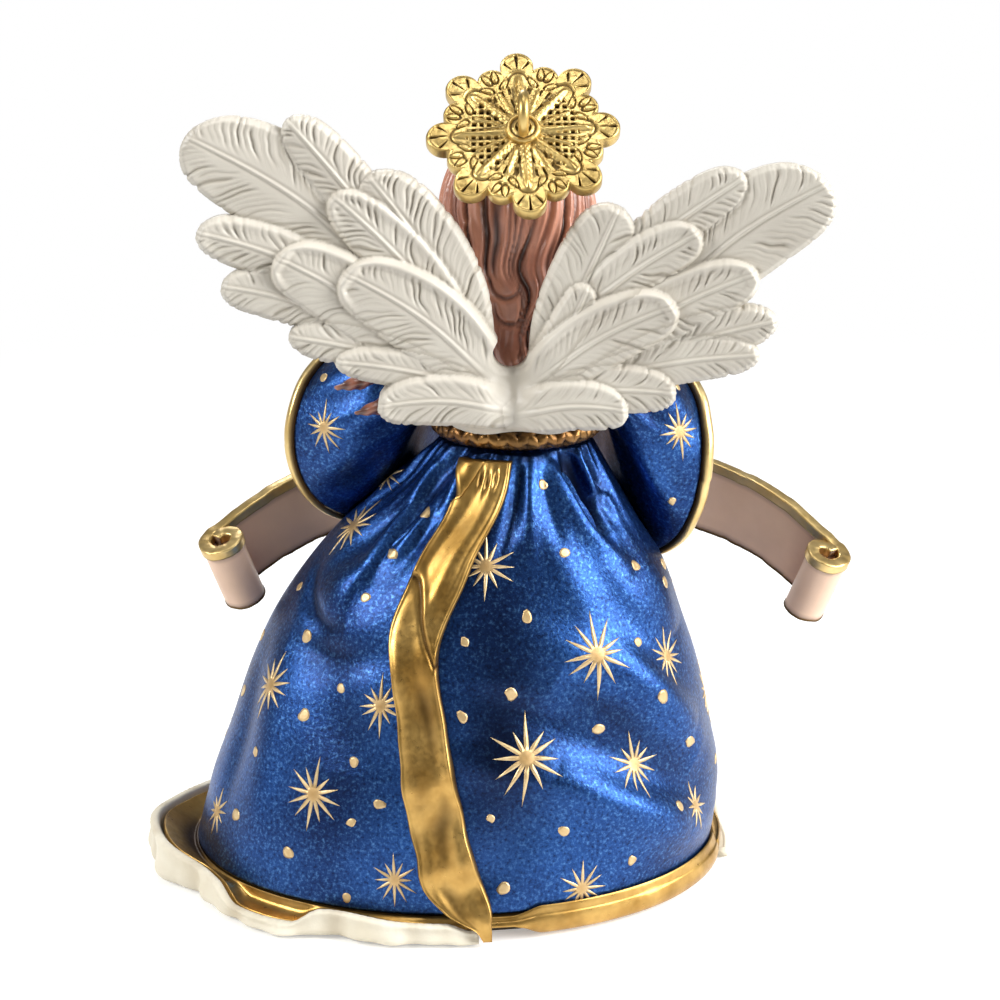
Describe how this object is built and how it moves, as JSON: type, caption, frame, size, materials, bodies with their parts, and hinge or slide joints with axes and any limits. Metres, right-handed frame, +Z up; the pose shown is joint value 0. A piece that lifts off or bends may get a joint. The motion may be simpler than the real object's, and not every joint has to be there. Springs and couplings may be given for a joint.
{
  "type": "angel ornament",
  "caption": "Hanging ornament of a robed, winged angel with a filigree halo and a wire eye, holding an open scroll; it also stands on a flat base.",
  "frame": {"origin": "on the flat underside of the base plate, straight below the figure's waist", "axes": "+Z up towards the halo; the figure faces -Y, its left hand is on the +X side, and its wings and hanging eye are at +Y"},
  "size_m": [0.0935, 0.0588, 0.1079],
  "materials": {
    "gown_blue": "pearlescent cobalt blue paint with gold stars over cast resin",
    "gilt": "antiqued gold paint over cast resin",
    "cream": "cream paint over cast resin",
    "base_grey": "plain matt resin",
    "skin": "satin flesh paint over cast resin",
    "dowel_wood": "plain",
    "parchment": "satin taupe paint with gold edges over cast resin",
    "ivory": "satin ivory paint over cast resin",
    "halo_brass": "bright gilt, cast in relief",
    "chestnut": "satin chestnut paint over cast resin"
  },
  "bodies": {
    "root": {"gown_skirt": "gown_blue", "hem_trim": "gilt", "petticoat_ruffle": "cream", "base_plate": "base_grey", "sash_ribbon": "gilt", "bodice": "gown_blue", "belt": "gilt", "collar": "gilt", "sleeve_left": "gown_blue", "sleeve_trim_left": "gilt", "undersleeve_left": "cream", "hand_left": "skin", "shoulder_dowel_left": "dowel_wood", "sleeve_right": "gown_blue", "sleeve_trim_right": "gilt", "undersleeve_right": "cream", "hand_right": "skin", "shoulder_dowel_right": "dowel_wood", "scroll": "parchment", "wings": "ivory", "wing_peg_upper": "ivory", "wing_peg_lower": "ivory", "halo_disc": "halo_brass", "halo_hub": "halo_brass", "hanging_eye": "halo_brass", "halo_post": "halo_brass", "head": "skin", "hair_cap": "chestnut", "neck_dowel": "dowel_wood", "hair_lock_left_outer": "chestnut", "hair_lock_left_inner": "chestnut", "hair_lock_right": "chestnut"}
  },
  "joints": []
}
